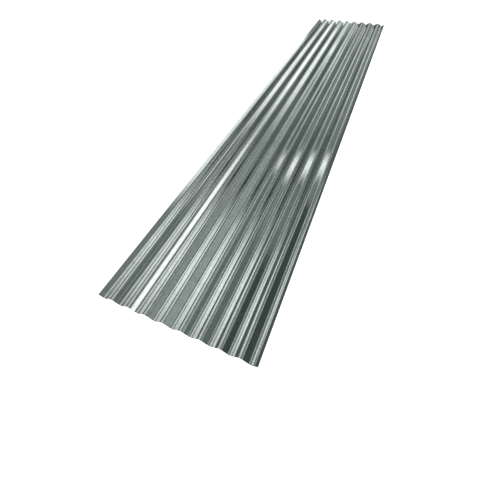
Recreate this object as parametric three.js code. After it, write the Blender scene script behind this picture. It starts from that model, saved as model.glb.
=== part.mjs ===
// Corrugated roofing sheet: one length of thin zinc-coated steel, roll-formed into
// shallow waves that run its whole length.
//
// Millimetres, +Z up. X runs across the waves and Y along them. The sheet lies on its
// valleys at Z = 0, centred on the Z axis.

import * as THREE from 'three';

// ---------------------------------------------------------------------------------
// Driving dimensions
// ---------------------------------------------------------------------------------

const SHEET_LENGTH = 3353;   // along the waves, end to end
const SHEET_WIDTH = 660;     // across the waves, between the side edges at mid thickness
const PITCH = 76.2;          // one valley's centre to the next
const DEPTH = 19;            // underside of a valley to the top of a crest
const THICKNESS = 0.5;       // steel and zinc together
const BEND_RADIUS = 17.4;    // round each crest and valley, at mid thickness
const BEND_CORNERS = 10;     // folds that turn one flank into the next; even, so a level strip is between

// The sheet's finish: bright zinc, smooth enough to mirror what stands round it.
const ZINC_COLOUR = 0xb7beb8;
const ZINC_ROUGHNESS = 0.22;
const ZINC_METALNESS = 1;

// ---------------------------------------------------------------------------------
// The wave at mid thickness: an arc in each valley, an arc over each crest, and a
// straight flank that is tangent to both
// ---------------------------------------------------------------------------------

const halfPitch = PITCH / 2;
const halfThickness = THICKNESS / 2;
const rise = DEPTH - THICKNESS;

// A bend can be no larger than the one whose arcs meet halfway up the flank.
const fullestRadius = (halfPitch ** 2 + rise ** 2) / (4 * rise);
const bendRadius = Math.min(BEND_RADIUS, fullestRadius);

// The flank crosses the line between a valley's centre of curvature and the next
// crest's, so it is their inner common tangent.
const centresRise = rise - 2 * bendRadius;
const centresGapSquared = halfPitch ** 2 + centresRise ** 2;
const flankLength = Math.sqrt(Math.max(0, centresGapSquared - (2 * bendRadius) ** 2));
const flankSlope = Math.atan2(centresRise, halfPitch) + Math.atan2(2 * bendRadius, flankLength);

// Every strip between two corners touches the true arc at its middle, and so do the
// flanks at their ends. The middle strip is level.
const cornerTurn = (2 * flankSlope) / BEND_CORNERS;
const cornerStretch = 1 / Math.cos(cornerTurn / 2);

// As many whole waves as the width takes, from valley to valley. What is left over is
// shared by the two side edges, which both turn up.
const waveCount = Math.floor(SHEET_WIDTH / PITCH);
const firstValley = (-waveCount * PITCH) / 2;
const sideEdge = SHEET_WIDTH / 2;

/**
 * The corners of one faceted bend, from its left flank to its right one.
 * side is -1 for a valley, which curves under its centre, and 1 for a crest.
 */
function bendCorners(middle, side) {
  const centreHeight = side < 0 ? bendRadius : rise - bendRadius;
  const corners = [];
  for (let corner = 0; corner < BEND_CORNERS; corner += 1) {
    const turn = -flankSlope + (corner + 0.5) * cornerTurn;
    corners.push({
      across: middle + bendRadius * cornerStretch * Math.sin(turn),
      height: centreHeight + side * bendRadius * cornerStretch * Math.cos(turn),
      slope: -side * turn,
      halfWall: halfThickness * cornerStretch,
    });
  }
  return corners;
}

/** Where a side edge is cut, square to the sheet. side is -1 for the left edge. */
function edgeCorner(side) {
  const fromValley = sideEdge - (waveCount * PITCH) / 2;
  const bendReach = bendRadius * Math.sin(flankSlope);
  const bendRise = bendRadius * (1 - Math.cos(flankSlope));
  let slope = flankSlope;
  let height = bendRise + (fromValley - bendReach) * Math.tan(flankSlope);
  if (fromValley < bendReach) {
    slope = Math.asin(fromValley / bendRadius);
    height = bendRadius * (1 - Math.cos(slope));
  } else if (fromValley > halfPitch - bendReach) {
    slope = Math.asin((halfPitch - fromValley) / bendRadius);
    height = rise - bendRadius * (1 - Math.cos(slope));
  }
  return { across: side * sideEdge, height, slope: side * slope, halfWall: halfThickness };
}

/** Every corner of the wave at mid thickness, from the left edge to the right one. */
function waveCorners() {
  const bends = [];
  for (let bend = -1; bend <= 2 * waveCount + 1; bend += 1) {
    const side = bend % 2 === 0 ? -1 : 1;
    bends.push(...bendCorners(firstValley + bend * halfPitch, side));
  }
  const within = bends.filter((corner) => Math.abs(corner.across) < sideEdge - halfThickness);
  return [edgeCorner(-1), ...within, edgeCorner(1)];
}

/** A corner moved half the wall out, square to the sheet. face is 1 for the top. */
function onFace(corner, face) {
  const out = face * corner.halfWall;
  return new THREE.Vector2(
    corner.across - out * Math.sin(corner.slope),
    halfThickness + corner.height + out * Math.cos(corner.slope),
  );
}

/** The sheet's cross-section: along its underside, and back along its top. */
function sheetSection() {
  const corners = waveCorners();
  const underside = corners.map((corner) => onFace(corner, -1));
  const top = corners.map((corner) => onFace(corner, 1)).reverse();
  return new THREE.Shape([...underside, ...top]);
}

/** The section drawn out along the waves, laid with its height along +Z. */
function sheetGeometry() {
  const geometry = new THREE.ExtrudeGeometry(sheetSection(), {
    depth: SHEET_LENGTH,
    bevelEnabled: false,
    steps: 1,
  });
  geometry.rotateX(Math.PI / 2);
  geometry.translate(0, SHEET_LENGTH / 2, 0);
  return geometry;
}

// ---------------------------------------------------------------------------------
// The part
// ---------------------------------------------------------------------------------

const zinc = new THREE.MeshStandardMaterial({
  color: ZINC_COLOUR,
  roughness: ZINC_ROUGHNESS,
  metalness: ZINC_METALNESS,
});

const sheet = new THREE.Mesh(sheetGeometry(), zinc);
sheet.name = 'corrugated_sheet';

const part = new THREE.Group();
part.add(sheet);

export default part;
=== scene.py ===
"""A length of corrugated, zinc-coated steel sheet, lying on a white studio floor.

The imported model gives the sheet's box. The sheet is shaped again here with rounder
bends, square-cut edges and a spangled zinc finish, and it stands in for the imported
node. Metres, +Z up, X across the waves and Y along them.
"""

import logging
import math
from collections.abc import Callable
from dataclasses import dataclass, field
from enum import Enum

import bpy
from mathutils import Matrix, Vector


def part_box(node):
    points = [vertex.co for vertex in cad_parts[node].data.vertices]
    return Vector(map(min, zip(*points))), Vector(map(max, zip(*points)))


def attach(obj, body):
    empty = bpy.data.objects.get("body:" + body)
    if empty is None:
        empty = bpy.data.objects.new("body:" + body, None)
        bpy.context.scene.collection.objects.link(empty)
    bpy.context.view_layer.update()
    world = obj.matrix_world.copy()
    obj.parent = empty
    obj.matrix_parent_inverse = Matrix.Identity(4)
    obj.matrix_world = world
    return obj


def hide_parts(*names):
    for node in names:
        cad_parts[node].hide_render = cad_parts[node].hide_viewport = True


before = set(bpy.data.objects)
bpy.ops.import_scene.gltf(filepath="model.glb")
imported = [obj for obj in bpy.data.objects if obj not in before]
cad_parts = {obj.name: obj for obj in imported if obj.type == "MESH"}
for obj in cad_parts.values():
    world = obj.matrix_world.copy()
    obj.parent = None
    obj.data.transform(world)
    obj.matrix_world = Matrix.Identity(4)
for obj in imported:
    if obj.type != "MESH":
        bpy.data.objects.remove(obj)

LOG = logging.getLogger("corrugated_sheet")

SHEET_NODE = "corrugated_sheet"
SHEET_BODY = "root"

# Two lamps at one height would hide each other, so each hangs a little lower.
CEILING_HEIGHT = 2.416
LAMP_STEP = 0.002


# ---------------------------------------------------------------------------------
# Small tools for modelling with operators
# ---------------------------------------------------------------------------------


def deselect_all() -> None:
    """Leaves nothing selected, so that an operator acts only on what is picked next."""
    bpy.ops.object.select_all(action="DESELECT")


def pick(obj: bpy.types.Object) -> None:
    """Makes one object the selected and active one."""
    deselect_all()
    obj.select_set(True)
    bpy.context.view_layer.objects.active = obj


def select_vertices(obj: bpy.types.Object, wanted: Callable[[Vector], bool]) -> None:
    """Selects vertices by their place, with edit mode open before and after.

    Args:
        obj: The mesh object in edit mode.
        wanted: Says of a vertex's place whether it is selected.
    """
    bpy.ops.mesh.select_mode(type="VERT")
    bpy.ops.mesh.select_all(action="DESELECT")
    bpy.ops.object.mode_set(mode="OBJECT")
    for vertex in obj.data.vertices:
        vertex.select = wanted(vertex.co)
    bpy.ops.object.mode_set(mode="EDIT")


def apply_modifier(obj: bpy.types.Object, kind: str, **settings: object) -> None:
    """Adds a modifier with these settings and applies it at once.

    Args:
        obj: The object, in object mode.
        kind: The modifier's type.
        **settings: The modifier's own settings.
    """
    modifier = obj.modifiers.new(kind.title(), kind)
    for name, value in settings.items():
        setattr(modifier, name, value)
    pick(obj)
    bpy.ops.object.modifier_apply(modifier=modifier.name)


# ---------------------------------------------------------------------------------
# Finishes
# ---------------------------------------------------------------------------------


class NodeBench:
    """Adds and joins the nodes of one material or world."""

    def __init__(self, tree: bpy.types.NodeTree) -> None:
        """Empties the tree and keeps it."""
        self.tree = tree
        self.tree.nodes.clear()

    def add(self, kind: str, **settings: object) -> bpy.types.Node:
        """Adds a node.

        Args:
            kind: The node's type.
            **settings: The node's own settings.

        Returns:
            The new node.
        """
        node = self.tree.nodes.new(kind)
        for name, value in settings.items():
            setattr(node, name, value)
        return node

    def join(self, out: bpy.types.NodeSocket, into: bpy.types.NodeSocket) -> None:
        """Links one socket to another."""
        self.tree.links.new(out, into)

    def feed(self, socket: bpy.types.NodeSocket, value: object) -> None:
        """Links a socket to another one, or sets it to a plain value."""
        if isinstance(value, bpy.types.NodeSocket):
            self.join(value, socket)
        else:
            socket.default_value = value

    def math(self, operation: str, *values: object) -> bpy.types.NodeSocket:
        """Adds a Math node.

        Args:
            operation: The sum it does.
            *values: Its inputs, each a socket or a number.

        Returns:
            The result's socket.
        """
        node = self.add("ShaderNodeMath", operation=operation)
        for socket, value in zip(node.inputs, values):
            self.feed(socket, value)
        return node.outputs[0]

    def mix(self, factor: object, first: object, second: object) -> bpy.types.NodeSocket:
        """Adds a Mix node for colours.

        Args:
            factor: How much of the second colour shows, a socket or a number.
            first: The colour at factor 0, a socket or four numbers.
            second: The colour at factor 1, a socket or four numbers.

        Returns:
            The mixed colour's socket.
        """
        node = self.add("ShaderNodeMix", data_type="RGBA")
        self.feed(node.inputs["Factor"], factor)
        self.feed(node.inputs["A"], first)
        self.feed(node.inputs["B"], second)
        return node.outputs["Result"]

    def spread(self, value: object, low: float, high: float) -> bpy.types.NodeSocket:
        """Takes a value from the range 0 to 1 to the range low to high."""
        node = self.add("ShaderNodeMapRange")
        self.feed(node.inputs["Value"], value)
        node.inputs["To Min"].default_value = low
        node.inputs["To Max"].default_value = high
        return node.outputs["Result"]


@dataclass(frozen=True)
class SpangledZinc:
    """Hot-dip zinc: small crystals, each a shade lighter or duller, and faint roll lines."""

    colour: tuple[float, float, float] = (0.92, 0.963, 0.945)
    dull_colour: tuple[float, float, float] = (0.645, 0.675, 0.662)
    roughness: float = 0.05
    roughness_swing: float = 0.02
    crystal_size: float = 0.008
    crystal_contrast: float = 0.45
    haze_contrast: float = 1.8
    haze_floor: float = -0.15
    roll_line_width: float = 0.0035
    roll_line_length: float = 1.1
    roll_line_depth: float = 0.000003
    roll_line_detail: float = 3.0
    bloom_size: float = 0.16
    bloom_detail: float = 4.0

    def build(self) -> bpy.types.Material:
        """Makes the material.

        Returns:
            The zinc material.
        """
        material = bpy.data.materials.new("spangled_zinc")
        material.use_nodes = True
        bench = NodeBench(material.node_tree)
        place = bench.add("ShaderNodeTexCoord").outputs["Object"]

        crystals = bench.add("ShaderNodeTexVoronoi", feature="F1")
        bench.join(place, crystals.inputs["Vector"])
        crystals.inputs["Scale"].default_value = 1 / self.crystal_size
        crystals.inputs["Randomness"].default_value = 1.0
        shade = bench.add("ShaderNodeSeparateColor")
        bench.join(crystals.outputs["Color"], shade.inputs["Color"])

        # Roll lines run along the sheet, so their pattern is stretched along Y.
        stretch = bench.add("ShaderNodeMapping")
        bench.join(place, stretch.inputs["Vector"])
        stretch.inputs["Scale"].default_value = (
            1 / self.roll_line_width,
            1 / self.roll_line_length,
            1 / self.roll_line_width,
        )
        lines = bench.add("ShaderNodeTexNoise")
        bench.join(stretch.outputs["Vector"], lines.inputs["Vector"])
        lines.inputs["Scale"].default_value = 1.0
        lines.inputs["Detail"].default_value = self.roll_line_detail
        line_height = bench.math("MULTIPLY", lines.outputs["Fac"], self.roll_line_depth)

        # A soft bloom dulls the zinc in patches a hand or two across.
        bloom = bench.add("ShaderNodeTexNoise")
        bench.join(place, bloom.inputs["Vector"])
        bloom.inputs["Scale"].default_value = 1 / self.bloom_size
        bloom.inputs["Detail"].default_value = self.bloom_detail

        bump = bench.add("ShaderNodeBump")
        bench.join(line_height, bump.inputs["Height"])
        bump.inputs["Strength"].default_value = 1.0
        bump.inputs["Distance"].default_value = 1.0

        crystal = bench.math("MULTIPLY", shade.outputs["Red"], self.crystal_contrast)
        haze = bench.math("MULTIPLY", lines.outputs["Fac"], bloom.outputs["Fac"])
        haze = bench.math("MULTIPLY_ADD", haze, self.haze_contrast, self.haze_floor)
        dullness = bench.math("ADD", crystal, haze)
        tone = bench.mix(dullness, (*self.colour, 1.0), (*self.dull_colour, 1.0))
        low = self.roughness - self.roughness_swing / 2
        sheen = bench.spread(shade.outputs["Green"], low, low + self.roughness_swing)

        shader = bench.add("ShaderNodeBsdfPrincipled")
        bench.join(tone, shader.inputs["Base Color"])
        shader.inputs["Metallic"].default_value = 1.0
        bench.join(sheen, shader.inputs["Roughness"])
        bench.join(bump.outputs["Normal"], shader.inputs["Normal"])
        output = bench.add("ShaderNodeOutputMaterial")
        bench.join(shader.outputs["BSDF"], output.inputs["Surface"])
        return material


@dataclass(frozen=True)
class ShearedEdge:
    """The sheet's cut edge: bare steel smeared with zinc, with fine shear marks."""

    steel: tuple[float, float, float] = (0.30, 0.31, 0.31)
    smear: tuple[float, float, float] = (0.58, 0.62, 0.60)
    roughness: float = 0.42
    mark_size: float = 0.0016
    mark_detail: float = 2.0

    def build(self) -> bpy.types.Material:
        """Makes the material.

        Returns:
            The cut edge's material.
        """
        material = bpy.data.materials.new("sheared_edge")
        material.use_nodes = True
        bench = NodeBench(material.node_tree)
        place = bench.add("ShaderNodeTexCoord").outputs["Object"]
        marks = bench.add("ShaderNodeTexNoise")
        bench.join(place, marks.inputs["Vector"])
        marks.inputs["Scale"].default_value = 1 / self.mark_size
        marks.inputs["Detail"].default_value = self.mark_detail
        tone = bench.mix(marks.outputs["Fac"], (*self.steel, 1.0), (*self.smear, 1.0))
        shader = bench.add("ShaderNodeBsdfPrincipled")
        bench.join(tone, shader.inputs["Base Color"])
        shader.inputs["Metallic"].default_value = 1.0
        shader.inputs["Roughness"].default_value = self.roughness
        output = bench.add("ShaderNodeOutputMaterial")
        bench.join(shader.outputs["BSDF"], output.inputs["Surface"])
        return material


# ---------------------------------------------------------------------------------
# The sheet
# ---------------------------------------------------------------------------------


class Bend(Enum):
    """The two ways a wave turns."""

    CREST = 1
    VALLEY = -1


@dataclass
class CorrugatedSheet:
    """The whole sheet, one wall bent into waves that run along Y."""

    low: Vector
    high: Vector
    pitch: float = 0.0762
    thickness: float = 0.0005
    clearance: float = 0.000001
    bend_radius: float = 0.0174
    bend_steps: int = 16
    flank_strips: int = 4
    rows: int = 60
    shading_angle: float = math.radians(30)
    seam_share: float = 0.0001
    weld_share: float = 0.01
    object: bpy.types.Object = field(init=False)
    reach: float = field(init=False)

    @property
    def rise(self) -> float:
        """A valley to a crest, at mid thickness."""
        return self.high.z - self.low.z - self.thickness - 2 * self.clearance

    @property
    def slope(self) -> float:
        """The flank's angle from level, where it is tangent to both bends."""
        half_pitch = self.pitch / 2
        centres_rise = self.rise - 2 * self.bend_radius
        flank = math.sqrt(half_pitch**2 + centres_rise**2 - (2 * self.bend_radius) ** 2)
        return math.atan2(centres_rise, half_pitch) + math.atan2(2 * self.bend_radius, flank)

    @property
    def flank_length(self) -> float:
        """The straight stretch between two bends, along its slope."""
        bent = 2 * self.bend_radius * (1 - math.cos(self.slope))
        return (self.rise - bent) / math.sin(self.slope)

    @property
    def half_width(self) -> float:
        """The centre line to a side edge, at mid thickness."""
        return (self.high.x - self.low.x - self.thickness * math.sin(self.slope)) / 2

    @property
    def wave_count(self) -> int:
        """Whole waves between the two outer valleys."""
        return int(2 * self.half_width / self.pitch)

    def build(self, zinc: bpy.types.Material, edge: bpy.types.Material) -> bpy.types.Object:
        """Makes the sheet.

        Args:
            zinc: The finish of both faces.
            edge: The finish of the cut edges.

        Returns:
            The finished piece.
        """
        self.start_flank()
        self.turn_bend(Bend.CREST)
        self.run_flank()
        self.turn_bend(Bend.VALLEY)
        self.repeat_wave()
        self.trim_sides()
        self.dress(zinc, edge)
        self.thicken()
        return self.object

    def start_flank(self) -> None:
        """Lays the first flank, which climbs from a valley to the crest beside it."""
        deselect_all()
        bpy.ops.mesh.primitive_grid_add(
            x_subdivisions=self.flank_strips, y_subdivisions=self.rows, size=1.0
        )
        self.object = bpy.context.active_object
        self.object.name = "zinc_sheet"
        self.object.data.name = "zinc_sheet"
        middle = Vector((self.pitch / 4, 0.0, (self.low.z + self.high.z) / 2))
        bpy.ops.object.mode_set(mode="EDIT")
        bpy.ops.mesh.select_all(action="SELECT")
        bpy.ops.transform.resize(value=(self.flank_length, self.high.y - self.low.y, 1.0))
        self.tip_selected(self.slope, Vector((0.0, 0.0, 0.0)))
        bpy.ops.transform.translate(value=middle)
        self.reach = self.pitch / 4 + math.cos(self.slope) * self.flank_length / 2

    def tip_selected(self, angle: float, centre: Vector) -> None:
        """Tips what is selected about a line along Y, its +X side up."""
        bpy.ops.transform.rotate(
            value=angle, orient_axis="Y", orient_type="GLOBAL", center_override=centre
        )

    def select_front(self) -> None:
        """Selects the chain of edges that the wave has reached so far."""
        near = self.pitch * self.seam_share
        select_vertices(self.object, lambda place: place.x > self.reach - near)

    def turn_bend(self, bend: Bend) -> None:
        """Spins the wave's front edge round a crest or a valley.

        Args:
            bend: Which way the sheet turns.
        """
        self.select_front()
        mid_bottom = self.low.z + self.clearance + self.thickness / 2
        half_chord = self.bend_radius * math.sin(self.slope)
        height = self.bend_radius if bend is Bend.VALLEY else self.rise - self.bend_radius
        centre = Vector((self.reach + half_chord, 0.0, mid_bottom + height))
        bpy.ops.mesh.spin(
            steps=self.bend_steps,
            angle=-bend.value * 2 * self.slope,
            center=centre,
            axis=(0.0, 1.0, 0.0),
        )
        self.reach += 2 * half_chord

    def run_flank(self) -> None:
        """Draws the front edge straight down the falling flank, strip by strip."""
        strip = self.flank_length / self.flank_strips
        step = Vector((math.cos(self.slope) * strip, 0.0, -math.sin(self.slope) * strip))
        for _ in range(self.flank_strips):
            self.select_front()
            bpy.ops.mesh.extrude_region_move(TRANSFORM_OT_translate={"value": step})
            self.reach += step.x

    def repeat_wave(self) -> None:
        """Copies the wave side by side, one more at each side than the sheet keeps."""
        copies = self.wave_count + 2
        first = -copies / 2 * self.pitch
        bpy.ops.mesh.select_all(action="SELECT")
        bpy.ops.transform.translate(value=(first, 0.0, 0.0))
        bpy.ops.object.mode_set(mode="OBJECT")
        apply_modifier(
            self.object,
            "ARRAY",
            count=copies,
            use_relative_offset=False,
            use_constant_offset=True,
            constant_offset_displace=(self.pitch, 0.0, 0.0),
            use_merge_vertices=True,
            merge_threshold=self.pitch * self.seam_share,
        )

    def trim_sides(self) -> None:
        """Cuts both side edges off square and turns every face up."""
        bpy.ops.object.mode_set(mode="EDIT")
        for side in (-1, 1):
            bpy.ops.mesh.select_all(action="SELECT")
            bpy.ops.mesh.bisect(
                plane_co=(side * self.half_width, 0.0, 0.0),
                plane_no=(side, 0.0, 0.0),
                clear_outer=True,
            )
        bpy.ops.mesh.select_all(action="SELECT")
        bpy.ops.mesh.remove_doubles(threshold=self.thickness * self.weld_share)
        bpy.ops.mesh.normals_make_consistent(inside=False)
        bpy.ops.object.mode_set(mode="OBJECT")
        if sum(polygon.normal.z for polygon in self.object.data.polygons) < 0:
            bpy.ops.object.mode_set(mode="EDIT")
            bpy.ops.mesh.select_all(action="SELECT")
            bpy.ops.mesh.flip_normals()
            bpy.ops.object.mode_set(mode="OBJECT")

    def dress(self, zinc: bpy.types.Material, edge: bpy.types.Material) -> None:
        """Gives the sheet its finishes, the faces' first and the cut edges' second."""
        self.object.data.materials.append(zinc)
        self.object.data.materials.append(edge)

    def thicken(self) -> None:
        """Gives the wall its thickness, half to each side, with square edges."""
        apply_modifier(
            self.object,
            "SOLIDIFY",
            thickness=self.thickness,
            offset=0.0,
            use_even_offset=True,
            material_offset_rim=1,
        )
        pick(self.object)
        bpy.ops.object.shade_smooth_by_angle(angle=self.shading_angle)


# ---------------------------------------------------------------------------------
# The studio
# ---------------------------------------------------------------------------------


@dataclass(frozen=True)
class StudioCamera:
    """The camera: its place, the way it looks, and its off-centre frame."""

    place: Vector = Vector((0.4751, -1.9605, 1.131))
    heading: float = math.radians(-25.55)
    tilt: float = math.radians(44.48)
    roll: float = math.radians(-3.39)
    sensor_width: float = 36.0
    lens: float = 22.82
    shift_y: float = -0.125
    nearest: float = 0.01
    farthest: float = 100.0

    def build(self) -> bpy.types.Object:
        """Makes the camera and gives it to the scene.

        Returns:
            The camera.
        """
        ahead = Vector(
            (
                math.sin(self.heading) * math.cos(self.tilt),
                math.cos(self.heading) * math.cos(self.tilt),
                -math.sin(self.tilt),
            )
        )
        level = Vector((math.cos(self.heading), -math.sin(self.heading), 0.0))
        upright = level.cross(ahead)
        right = math.cos(self.roll) * level + math.sin(self.roll) * upright
        up = -math.sin(self.roll) * level + math.cos(self.roll) * upright
        data = bpy.data.cameras.new("studio_camera")
        data.sensor_width = self.sensor_width
        data.lens = self.lens
        data.shift_y = self.shift_y
        data.clip_start = self.nearest
        data.clip_end = self.farthest
        camera = bpy.data.objects.new("studio_camera", data)
        turn = Matrix((right, up, -ahead)).transposed().to_4x4()
        camera.matrix_world = Matrix.Translation(self.place) @ turn
        bpy.context.scene.collection.objects.link(camera)
        bpy.context.scene.camera = camera
        return camera


class LampTint(Enum):
    """The colour of a lamp's light: nearly white, greener for the fill, or bluer far off."""

    MAIN = (0.975, 0.985, 0.99)
    FILL = (0.91, 1.0, 0.955)
    COOL = (0.90, 0.98, 0.99)


@dataclass(frozen=True)
class Softbox:
    """A flat lamp that faces straight down, given by two corners of its rectangle."""

    name: str
    low: tuple[float, float]
    high: tuple[float, float]
    brightness: float
    soft_side: float
    soft_end: float
    tint: LampTint = LampTint.MAIN
    turn: float = 0.0

    def build(self, height: float) -> bpy.types.Object:
        """Makes the lamp.

        Args:
            height: How high over the floor it hangs.

        Returns:
            The lamp, hidden from the camera and seen in reflections.
        """
        across = self.high[0] - self.low[0]
        along = self.high[1] - self.low[1]
        data = bpy.data.lights.new(self.name, "AREA")
        data.shape = "RECTANGLE"
        data.size = across
        data.size_y = along
        data.energy = self.brightness * across * along * math.pi
        data.color = self.tint.value
        data.use_nodes = True
        self.soften(NodeBench(data.node_tree), across, along)
        lamp = bpy.data.objects.new(self.name, data)
        lamp.location = (self.low[0] + across / 2, self.low[1] + along / 2, height)
        lamp.rotation_euler.z = self.turn
        lamp.visible_camera = False
        bpy.context.scene.collection.objects.link(lamp)
        return lamp

    def soften(self, bench: NodeBench, across: float, along: float) -> None:
        """Fades the lamp out towards its edges.

        Args:
            bench: The lamp's own nodes.
            across: The lamp's size along X.
            along: The lamp's size along Y.
        """
        face = bench.add("ShaderNodeSeparateXYZ")
        bench.join(bench.add("ShaderNodeTexCoord").outputs["UV"], face.inputs["Vector"])
        fades = []
        for axis, size, soft in (("X", across, self.soft_side), ("Y", along, self.soft_end)):
            place = face.outputs[axis]
            inward = bench.math("MINIMUM", place, bench.math("SUBTRACT", 1.0, place))
            fade = bench.add("ShaderNodeMapRange", interpolation_type="SMOOTHSTEP")
            bench.join(inward, fade.inputs["Value"])
            fade.inputs["From Max"].default_value = min(soft / size, 0.5)
            fades.append(fade.outputs["Result"])
        glow = bench.add("ShaderNodeEmission")
        bench.join(bench.math("MULTIPLY", *fades), glow.inputs["Strength"])
        output = bench.add("ShaderNodeOutputLight")
        bench.join(glow.outputs["Emission"], output.inputs["Surface"])


@dataclass(frozen=True)
class WhiteFloor:
    """The studio floor: white paper that keeps the sheet's soft shadow."""

    reach: float = 40.0
    colour: tuple[float, float, float] = (0.80, 0.80, 0.80)
    glow: float = 0.92
    drop: float = 0.0003

    def build(self) -> bpy.types.Object:
        """Makes the floor.

        Returns:
            The floor.
        """
        deselect_all()
        bpy.ops.mesh.primitive_plane_add(size=self.reach, location=(0.0, 0.0, -self.drop))
        floor = bpy.context.active_object
        floor.name = "studio_floor"
        floor.data.materials.append(self.paper())
        return floor

    def paper(self) -> bpy.types.Material:
        """Makes the floor's white paper.

        Returns:
            The material: a diffuse white that also glows where it is looked at.
        """
        material = bpy.data.materials.new("white_paper")
        material.use_nodes = True
        bench = NodeBench(material.node_tree)
        ray = bench.add("ShaderNodeLightPath")
        seen = bench.math("ADD", ray.outputs["Is Camera Ray"], ray.outputs["Is Glossy Ray"])
        seen = bench.math("ADD", seen, ray.outputs["Is Transmission Ray"])
        matt = bench.add("ShaderNodeBsdfDiffuse")
        matt.inputs["Color"].default_value = (*self.colour, 1.0)
        glow = bench.add("ShaderNodeEmission")
        bench.join(bench.math("MULTIPLY", seen, self.glow), glow.inputs["Strength"])
        both = bench.add("ShaderNodeAddShader")
        bench.join(matt.outputs["BSDF"], both.inputs[0])
        bench.join(glow.outputs["Emission"], both.inputs[1])
        output = bench.add("ShaderNodeOutputMaterial")
        bench.join(both.outputs["Shader"], output.inputs["Surface"])
        return material


@dataclass(frozen=True)
class StudioRoom:
    """The room round the stage: dim ahead of the camera and paler behind it."""

    ceiling: tuple[float, float, float] = (0.050, 0.068, 0.058)
    wall: tuple[float, float, float] = (0.095, 0.117, 0.105)
    rear_ceiling: tuple[float, float, float] = (0.19, 0.21, 0.20)
    rear_wall: tuple[float, float, float] = (0.42, 0.45, 0.435)
    wall_foot: float = math.sin(math.radians(8))
    wall_top: float = math.sin(math.radians(20))
    rear_start: float = math.sin(math.radians(12))

    def build(self) -> None:
        """Makes the world: white where it is looked at, and the room in reflections."""
        world = bpy.data.worlds.new("studio_room")
        world.use_nodes = True
        bench = NodeBench(world.node_tree)
        split = bench.add("ShaderNodeSeparateXYZ")
        bench.join(bench.add("ShaderNodeTexCoord").outputs["Generated"], split.inputs["Vector"])
        up = self.fade(bench, split.outputs["Z"], self.wall_foot, self.wall_top)
        ahead = self.fade(bench, split.outputs["Y"], 0.0, self.rear_start)
        front = bench.mix(up, (*self.wall, 1.0), (*self.ceiling, 1.0))
        rear = bench.mix(up, (*self.rear_wall, 1.0), (*self.rear_ceiling, 1.0))
        room = bench.mix(ahead, rear, front)
        looked_at = bench.add("ShaderNodeLightPath").outputs["Is Camera Ray"]
        background = bench.add("ShaderNodeBackground")
        bench.join(bench.mix(looked_at, room, (1.0, 1.0, 1.0, 1.0)), background.inputs["Color"])
        output = bench.add("ShaderNodeOutputWorld")
        bench.join(background.outputs["Background"], output.inputs["Surface"])
        bpy.context.scene.world = world

    @staticmethod
    def fade(
        bench: NodeBench, value: bpy.types.NodeSocket, start: float, end: float
    ) -> bpy.types.NodeSocket:
        """Turns one axis of the heading into a soft step.

        Args:
            bench: The world's nodes.
            value: How far the heading points along the axis, from -1 to 1.
            start: Where the step begins.
            end: Where the step is done.

        Returns:
            The step's socket, from 0 to 1.
        """
        step = bench.add("ShaderNodeMapRange", interpolation_type="SMOOTHSTEP")
        bench.join(value, step.inputs["Value"])
        step.inputs["From Min"].default_value = start
        step.inputs["From Max"].default_value = end
        return step.outputs["Result"]
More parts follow.
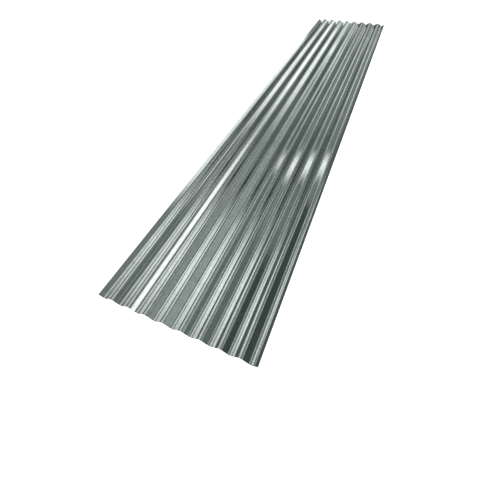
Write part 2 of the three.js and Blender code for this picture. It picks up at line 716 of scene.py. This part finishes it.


# Each flank mirrors one narrow strip of the ceiling, so a lamp's place decides which waves it
# brightens. Most of the front lamps' numbers are a least-squares fit's result, rounded. The
# rest of them, and all of the rear lamps, were set one by one.
SOFTBOXES = (
    Softbox("left_far_box", (-5.4, 1.4), (-3.0, 16.0), 0.13, 0.6, 0.2, LampTint.FILL),
    Softbox("left_outer_box", (-6.3, 0.3), (-3.7, 1.6), 0.40, 0.2, 0.6),
    Softbox("left_near_box", (-3.7, -2.2), (-2.4, 2.1), 1.00, 0.3, 2.1),
    Softbox("left_far_strip", (-2.0, 2.0), (-0.9, 16.0), 0.24, 0.4, 3.0, LampTint.FILL),
    Softbox("far_left_box", (-1.8, 7.5), (-0.9, 16.0), 0.50, 0.2, 2.5),
    Softbox("left_spot", (-2.2, -1.5), (-1.5, 3.4), 0.85, 0.1, 1.8),
    Softbox("near_left_box", (-1.55, -2.1), (-0.72, 1.4), 1.10, 0.1, 1.7),
    Softbox("near_spot", (-0.65, -4.4), (-0.15, 0.1), 1.30, 0.1, 2.2),
    Softbox("middle_box", (-0.75, 0.1), (0.3, 3.3), 0.20, 0.1, 0.8, LampTint.FILL),
    Softbox("near_fill", (-0.4, -2.5), (1.42, 1.0), 0.14, 0.1, 0.8, LampTint.FILL),
    Softbox("far_box", (-0.65, 1.5), (0.6, 16.0), 0.45, 0.1, 3.0),
    Softbox("right_strip", (1.03, 0.2), (1.41, 8.0), 0.84, 0.1, 1.0),
    Softbox("right_fill", (1.39, -2.4), (2.6, 16.0), 0.19, 0.05, 0.2, LampTint.FILL),
    Softbox("right_outer_fill", (1.95, -2.4), (3.35, 16.0), 0.09, 0.05, 0.2, LampTint.FILL),
    Softbox("far_right_fill", (2.98, 0.7), (3.8, 16.0), 0.12, 0.1, 1.0, LampTint.COOL),
    Softbox("right_edge_fill", (3.65, 2.9), (4.4, 16.0), 0.15, 0.2, 0.4, LampTint.COOL),
    Softbox("long_strip", (1.63, -1.9), (1.74, 16.0), 0.48, 0.05, 0.2),
    Softbox("near_strip", (1.57, -3.4), (1.75, 3.5), 0.75, 0.05, 3.0),
    Softbox("right_box", (1.7, 3.7), (5.8, 4.7), 0.85, 0.6, 0.5, turn=math.radians(50)),
    Softbox("far_right_box", (1.08, 2.9), (2.2, 11.5), 0.80, 0.3, 3.0),
    Softbox("far_end_box", (1.9, 6.0), (2.7, 16.0), 0.38, 0.1, 2.4, LampTint.COOL),
    Softbox("left_middle_fill", (-1.12, 1.1), (-0.77, 5.0), 0.10, 0.06, 1.0, LampTint.FILL),
    Softbox("right_middle_box", (1.31, 2.2), (1.52, 5.8), 0.50, 0.06, 1.6),
    Softbox("far_spot", (2.15, 7.9), (2.42, 9.5), 0.36, 0.08, 0.6),
    Softbox("rear_near_box", (-0.9, -4.8), (0.9, -2.2), 0.45, 0.3, 0.8),
    Softbox("rear_box", (-1.6, -9.0), (1.6, -5.2), 0.80, 0.5, 1.2),
    Softbox("rear_left_box", (-6.6, -8.0), (-4.2, -2.4), 0.80, 0.6, 1.5),
    Softbox("rear_right_box", (4.2, -8.0), (6.6, -2.4), 0.80, 0.6, 1.5),
)


def main() -> None:
    """Builds the sheet and the studio round it."""
    logging.basicConfig(level=logging.INFO, format="%(message)s")
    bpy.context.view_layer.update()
    StudioCamera().build()

    sheet = CorrugatedSheet(*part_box(SHEET_NODE))
    piece = sheet.build(SpangledZinc().build(), ShearedEdge().build())
    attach(piece, SHEET_BODY)
    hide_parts(SHEET_NODE)
    LOG.info("%s: %d waves, %d faces", piece.name, sheet.wave_count, len(piece.data.polygons))

    WhiteFloor().build()
    StudioRoom().build()
    for step, softbox in enumerate(SOFTBOXES):
        softbox.build(CEILING_HEIGHT - step * LAMP_STEP)
        LOG.info("%s: %.2f bright", softbox.name, softbox.brightness)

    scene = bpy.context.scene
    scene.view_settings.view_transform = "Standard"


if __name__ == "__main__":
    main()
